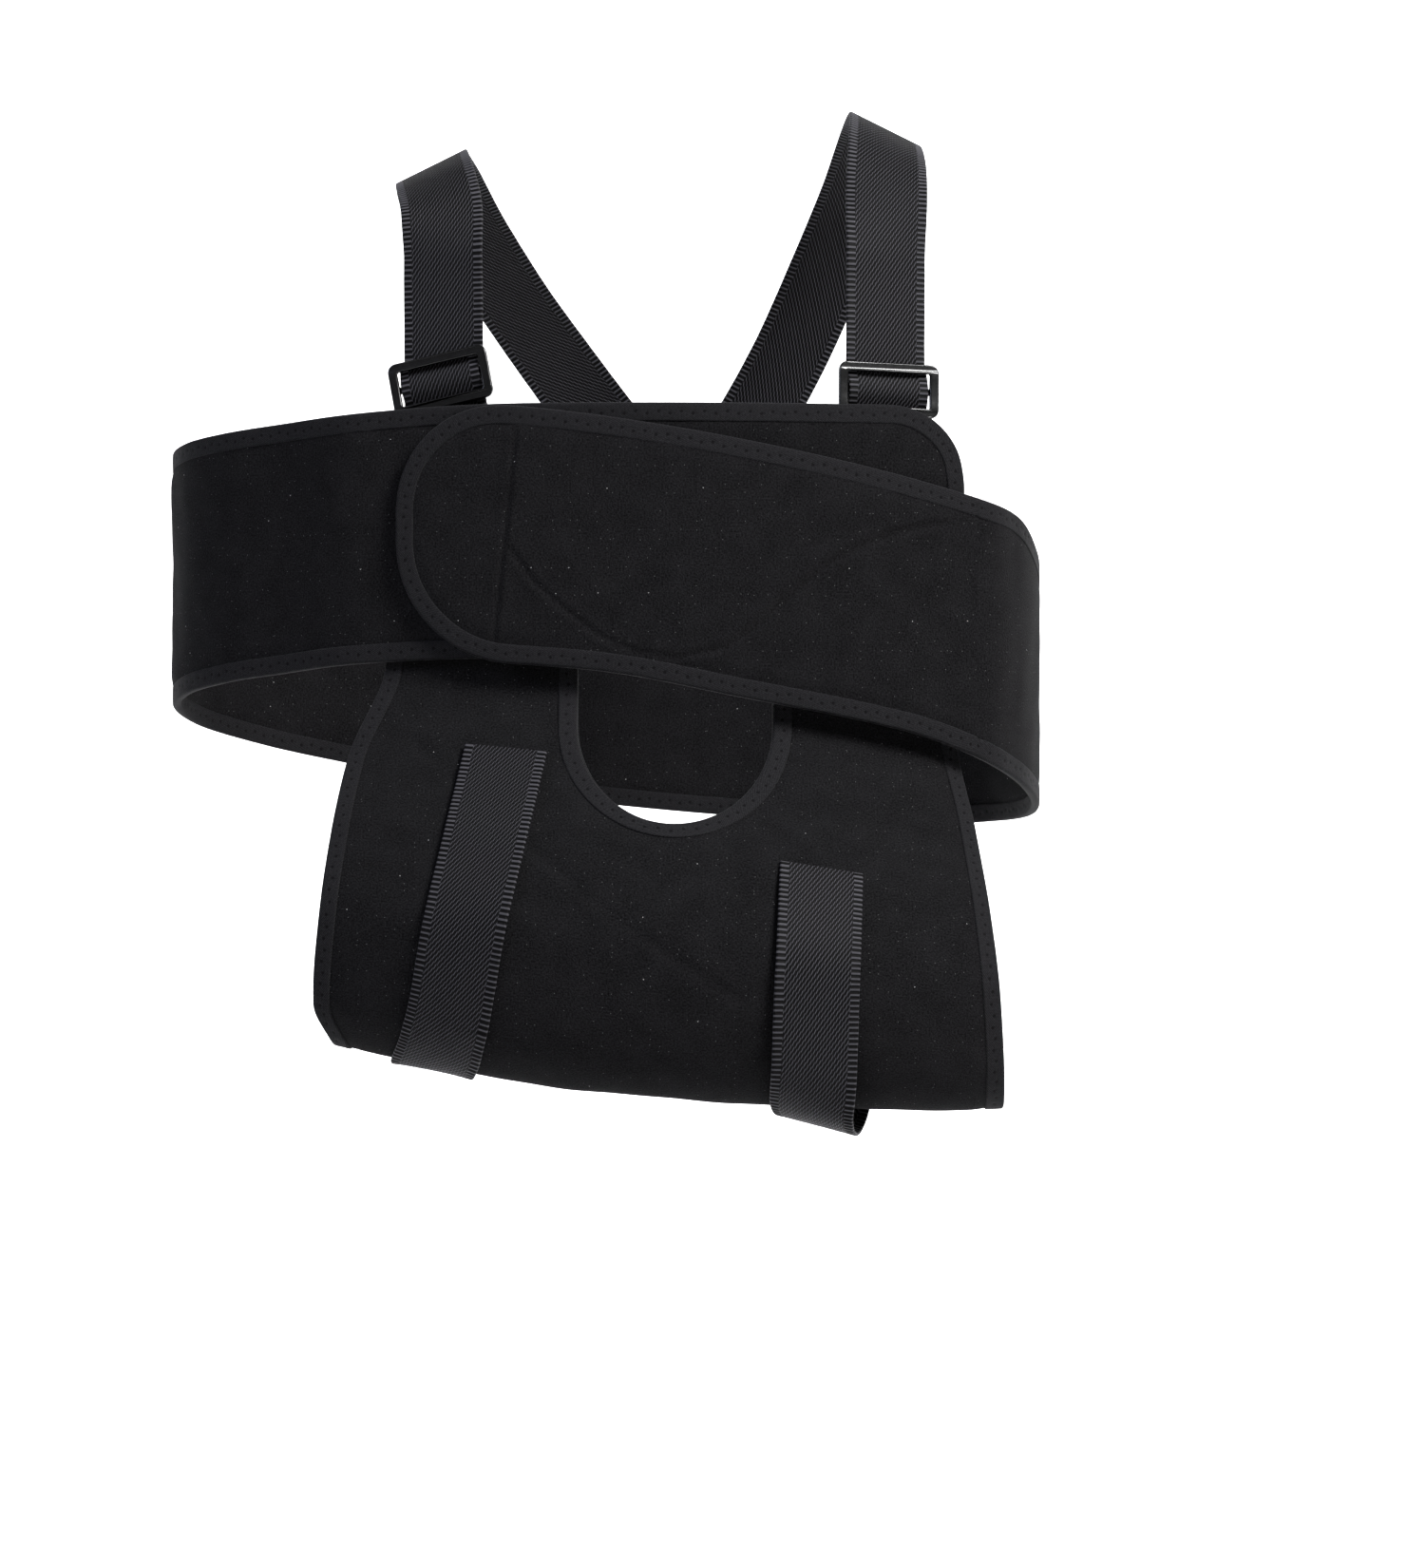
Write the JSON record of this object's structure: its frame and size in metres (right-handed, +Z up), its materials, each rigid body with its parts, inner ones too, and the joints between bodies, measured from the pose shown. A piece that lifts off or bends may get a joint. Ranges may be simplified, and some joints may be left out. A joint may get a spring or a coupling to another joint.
{
  "type": "arm sling",
  "caption": "Arm sling with a wide chest belt that closes with a flap, a folded pouch for the forearm with a U-shaped cut-out, and two shoulder straps with slide adjusters.",
  "frame": {"origin": "on the wearer's upright axis, inside the belt and at the middle of its height on the chest", "axes": "+X to the wearer's left, +Y from the chest to the back, +Z up"},
  "size_m": [0.4175, 0.3145, 0.4799],
  "materials": {
    "neoprene": "black knit-faced neoprene, matt with a loop pile",
    "binding": "black knitted binding tape, zigzag stitched",
    "webbing": "black elastic twill webbing with ladder selvages",
    "hook_tape": "black nylon hook tape",
    "thread": "black polyester sewing thread",
    "black_plastic": "black moulded plastic, smooth and glossy"
  },
  "bodies": {
    "sling": {"belt_wrap": "neoprene", "belt_wrap_binding": "binding", "under_end_patch": "hook_tape", "under_end_seam_stitch": "thread", "pouch_panel": "neoprene", "pouch_left_binding": "binding", "pouch_right_binding": "binding", "front_cutout_binding": "binding", "back_cutout_binding": "binding", "left_shoulder_strap": "webbing", "right_shoulder_strap": "webbing", "left_back_stitch": "thread", "right_back_stitch": "thread"},
    "flap": {"belt_flap": "neoprene", "belt_flap_binding": "binding", "flap_hook_patch": "hook_tape", "flap_seam_stitch": "thread"},
    "left_tab": {"left_support_tab": "webbing", "left_tab_hook_patch": "hook_tape"},
    "right_tab": {"right_support_tab": "webbing", "right_tab_hook_patch": "hook_tape"},
    "left_slider": {"left_tri_glide": "black_plastic", "left_slider_loop": "webbing"},
    "right_slider": {"right_tri_glide": "black_plastic", "right_slider_loop": "webbing"}
  },
  "joints": [
    {"name": "flap_hinge", "type": "hinge", "parent": "sling", "child": "flap", "pos_m": [0.12865, -0.10472, -0.02], "axis": [0, 0, 1], "range_deg": [0, 100]},
    {"name": "left_tab_peel", "type": "hinge", "parent": "sling", "child": "left_tab", "pos_m": [-0.11111, -0.17358, -0.20389], "axis": [0.9301, -0.1308, -0.3432], "range_deg": [0, 120]},
    {"name": "left_slider_slide", "type": "slide", "parent": "sling", "child": "left_slider", "axis": [-0.0133, 0.0775, 0.9969], "range_m": [0, 0.04]},
    {"name": "right_tab_peel", "type": "hinge", "parent": "sling", "child": "right_tab", "pos_m": [0.05136, -0.18244, -0.23326], "axis": [0.9926, -0.0784, -0.0929], "range_deg": [0, 120]},
    {"name": "right_slider_slide", "type": "slide", "parent": "sling", "child": "right_slider", "axis": [0.0089, 0.0797, 0.9968], "range_m": [0, 0.04]}
  ]
}
